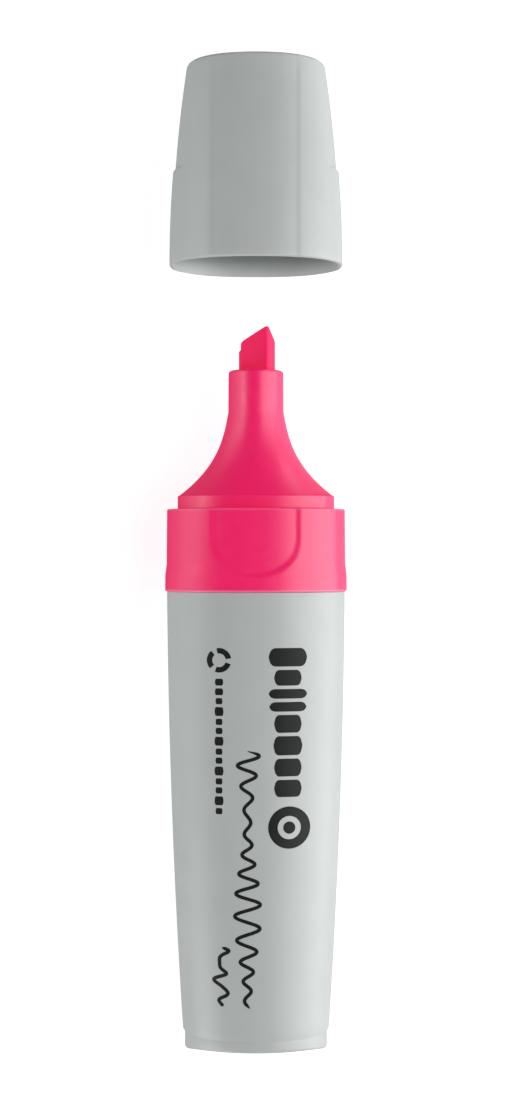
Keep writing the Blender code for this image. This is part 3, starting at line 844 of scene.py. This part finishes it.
def painted_edge_highlight(material, place, half, share):
    """Paints a highlight: mixes a share of pale pink into a material's colour on a thin line round
    the pen.

    The line is solid over its inner half, and fades out at half its width on each side.
    """
    tree = material.node_tree
    base = tree.nodes["Principled BSDF"].inputs["Base Color"]
    away = tree.nodes.new("ShaderNodeMath")
    away.operation = "SUBTRACT"
    away.inputs[1].default_value = place
    distance = tree.nodes.new("ShaderNodeMath")
    distance.operation = "ABSOLUTE"
    tree.links.new(along_pen(tree), away.inputs[0])
    tree.links.new(away.outputs["Value"], distance.inputs[0])
    fading = map_range(tree, distance.outputs["Value"], (half / 2, half), (share, 0.0))
    mixed = mixed_colour(tree, fading, base.links[0].from_socket)
    mixed.inputs[MIX_SECOND].default_value = HIGHLIGHT_PINK
    tree.links.new(mixed.outputs[MIX_RESULT], base)


def felt(name, colour):
    """Ink-wet felt: fibres run along the nib, with darker and lighter strands between them. A
    faint painted glow makes it shine pink though it is no lamp.
    """
    material, tree, shader = new_material(name)
    strands = noise(tree, STRAND_SCALE, 4.0, STRAND_STRETCH)
    tree.links.new(tinted(tree, strands, colour, 0.12), shader.inputs["Base Color"])
    rough = map_range(tree, strands, NOISE_RANGE, (0.50, 0.72))
    tree.links.new(rough, shader.inputs["Roughness"])
    bumped(tree, shader, strands, STRAND_DEPTH)
    shader.inputs["Specular IOR Level"].default_value = 0.45
    shader.inputs["Emission Color"].default_value = PINK_GLOW
    shader.inputs["Emission Strength"].default_value = FELT_GLOW_STRENGTH
    return material


def printed_ink(name):
    """Dull black ink, slightly uneven."""
    material, tree, shader = new_material(name)
    worn = noise(tree, INK_SCALE, 4.0)
    tree.links.new(tinted(tree, worn, PRINT, 0.25), shader.inputs["Base Color"])
    rough = map_range(tree, worn, NOISE_RANGE, (0.38, 0.52))
    tree.links.new(rough, shader.inputs["Roughness"])
    shader.inputs["Specular IOR Level"].default_value = 0.25
    return material


def film(name):
    """Glossy whitish film round the ink core."""
    material, tree, shader = new_material(name)
    haze = noise(tree, HAZE_SCALE)
    tree.links.new(tinted(tree, haze, FILM_HAZE, 0.03), shader.inputs["Base Color"])
    rough = map_range(tree, haze, NOISE_RANGE, (0.18, 0.30))
    tree.links.new(rough, shader.inputs["Roughness"])
    return material


def finish_inner_nodes(core, wrap, tube):
    """The sealed inner pieces keep their CAD shapes and get their own finishes."""
    finishes = {"ink_reservoir": core, "reservoir_film": wrap, "breather_tube": tube}
    for name, material in finishes.items():
        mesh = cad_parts[name].data
        mesh.materials.clear()
        mesh.materials.append(material)


# ---------------------------------------------------------------- floor, light, camera

CAMERA_DISTANCE = 0.250
CAMERA_OFFSET = (0.00024, 0.00025)
FRAME_LENGTH = 0.16682
SENSOR = 0.036

FLOOR_SIZE = 6.0
FLOOR_GLOW = 0.78

# Softboxes: name, place, width and height, and power in watts
SOFTBOXES = (
    ("key_right", (0.433, -0.06, 0.26), (0.46, 0.86), 2.95),
    ("fill_tail", (-0.36, -0.36, 0.20), (0.40, 0.40), 1.03),
    ("fill_cap", (-0.40, 0.11, 0.32), (0.13, 0.20), 0.20),
    ("fill_nib", (0.32, 0.42, 0.15), (0.24, 0.24), 0.24),
)

# The surround's grey levels from left, -1, to right, 1, above and below the horizon
LEVELS_ABOVE = (
    (-1.0, 1.0), (-0.88, 0.95), (-0.72, 0.28), (-0.5, 0.10), (0.0, 0.06),
    (0.5, 0.12), (0.76, 0.45), (0.90, 0.85), (1.0, 0.90),
)
LEVELS_BELOW = ((-1.0, 0.40), (-0.7, 0.10), (0.0, 0.10), (0.6, 0.60), (0.8, 0.95), (1.0, 0.95))
HORIZON_BLEND = 0.1


def make_floor():
    """A plain white table top, lit from within so that it stays white round the object.

    Glossy surfaces mirror the surround's lower half in its stead.
    """
    bpy.ops.mesh.primitive_plane_add(size=FLOOR_SIZE, location=(0.0, 0.0, 0.0))
    floor = bpy.context.object
    floor.name = "floor"
    material, _, shader = new_material("pale_table")
    shader.inputs["Base Color"].default_value = TABLE_GREY
    shader.inputs["Emission Color"].default_value = WHITE
    shader.inputs["Emission Strength"].default_value = FLOOR_GLOW
    shader.inputs["Roughness"].default_value = 0.9
    shader.inputs["Specular IOR Level"].default_value = 0.1
    floor.data.materials.append(material)
    floor.visible_glossy = False


def softbox(name, place, size, power):
    """A rectangular light aimed at the object."""
    light = bpy.data.lights.new(name, "AREA")
    light.shape = "RECTANGLE"
    light.size, light.size_y = size
    light.energy = power
    lamp = bpy.data.objects.new(name, light)
    lamp.location = place
    lamp.rotation_mode = "QUATERNION"
    lamp.rotation_quaternion = (-Vector(place)).to_track_quat("-Z", "Y")
    lamp.visible_camera = False
    bpy.context.scene.collection.objects.link(lamp)


def level_ramp(tree, value, levels):
    """Grey levels along a value from -1 to 1."""
    ramp = tree.nodes.new("ShaderNodeValToRGB")
    while len(ramp.color_ramp.elements) < len(levels):
        ramp.color_ramp.elements.new(0.5)
    for element, (place, level) in zip(ramp.color_ramp.elements, levels):
        element.position = (place + 1) / 2
        element.color = (level, level, level, 1.0)
    tree.links.new(map_range(tree, value, (-1.0, 1.0)), ramp.inputs["Fac"])
    return ramp.outputs["Color"]


def make_surround():
    """A studio round the object: bright to both sides and dark overhead, by direction alone.

    Below the horizon, which glossy faces mirror, its left is dim and its right bright. The
    camera itself sees plain white behind the floor's edge.
    """
    world = bpy.data.worlds.new("studio")
    world.use_nodes = True
    tree = world.node_tree
    where = tree.nodes.new("ShaderNodeTexCoord")
    split = tree.nodes.new("ShaderNodeSeparateXYZ")
    tree.links.new(where.outputs["Generated"], split.inputs["Vector"])
    horizon = map_range(tree, split.outputs["Z"], (-HORIZON_BLEND, HORIZON_BLEND))
    below = level_ramp(tree, split.outputs["X"], LEVELS_BELOW)
    halves = mixed_colour(tree, horizon, below)
    above = level_ramp(tree, split.outputs["X"], LEVELS_ABOVE)
    tree.links.new(above, halves.inputs[MIX_SECOND])
    rays = tree.nodes.new("ShaderNodeLightPath")
    seen = mixed_colour(tree, rays.outputs["Is Camera Ray"], halves.outputs[MIX_RESULT])
    seen.inputs[MIX_SECOND].default_value = WHITE
    tree.links.new(seen.outputs[MIX_RESULT], tree.nodes["Background"].inputs["Color"])
    bpy.context.scene.world = world


def make_lights():
    """A large, strong softbox to the right, three weaker ones, and the surround."""
    for name, place, size, power in SOFTBOXES:
        softbox(name, place, size, power)
    make_surround()
    bpy.context.scene.view_settings.view_transform = "Standard"


def make_camera():
    """Straight above the pen, nib up in the picture, on a moderately long lens."""
    data = bpy.data.cameras.new("camera")
    data.sensor_width = SENSOR * 1000
    data.lens = SENSOR * 1000 * CAMERA_DISTANCE / FRAME_LENGTH
    camera = bpy.data.objects.new("camera", data)
    camera.location = (*CAMERA_OFFSET, AXIS_Z + CAMERA_DISTANCE)
    bpy.context.scene.collection.objects.link(camera)
    bpy.context.scene.camera = camera


def main():
    make_camera()
    make_floor()
    make_lights()
    grey = moulded_plastic("grey_plastic", GREY, (0.36, 0.44))
    # The pink plastic shines with a painted glow
    pink = moulded_plastic("pink_plastic", PINK, (0.30, 0.38), glow=PINK_GLOW_STRENGTH)
    # Painted highlights along the collar's foot and top edges
    painted_edge_highlight(pink, COLLAR_FOOT, FOOT_HIGHLIGHT_HALF, FOOT_HIGHLIGHT_SHARE)
    painted_edge_highlight(pink, COLLAR_TOP - TOP_HIGHLIGHT_DROP, TOP_HIGHLIGHT_HALF, TOP_HIGHLIGHT_SHARE)
    # The cap's inside: the grey with painted shade, darker inwards from the rim
    shaded_inside = moulded_plastic("grey_inside_painted_shade", INSIDE_SHADE_GREY, (0.42, 0.50))
    shade_inwards(shaded_inside, CAP_LO.y, INSIDE_SHADE_DEPTH, INSIDE_SHADE_SHARE)
    natural = moulded_plastic("natural_plastic", WHITE_PLASTIC, (0.36, 0.46))
    make_barrel(grey)
    make_end_plug(grey)
    make_front_section(pink)
    # The nib's felt shines with a painted glow
    make_nib(felt("nib_felt", NIB_PINK))
    make_cap(grey, shaded_inside)
    make_liner(natural)
    make_prints(printed_ink("print_ink"))
    finish_inner_nodes(felt("core_felt", NIB_PINK), film("core_film"), natural)


main()
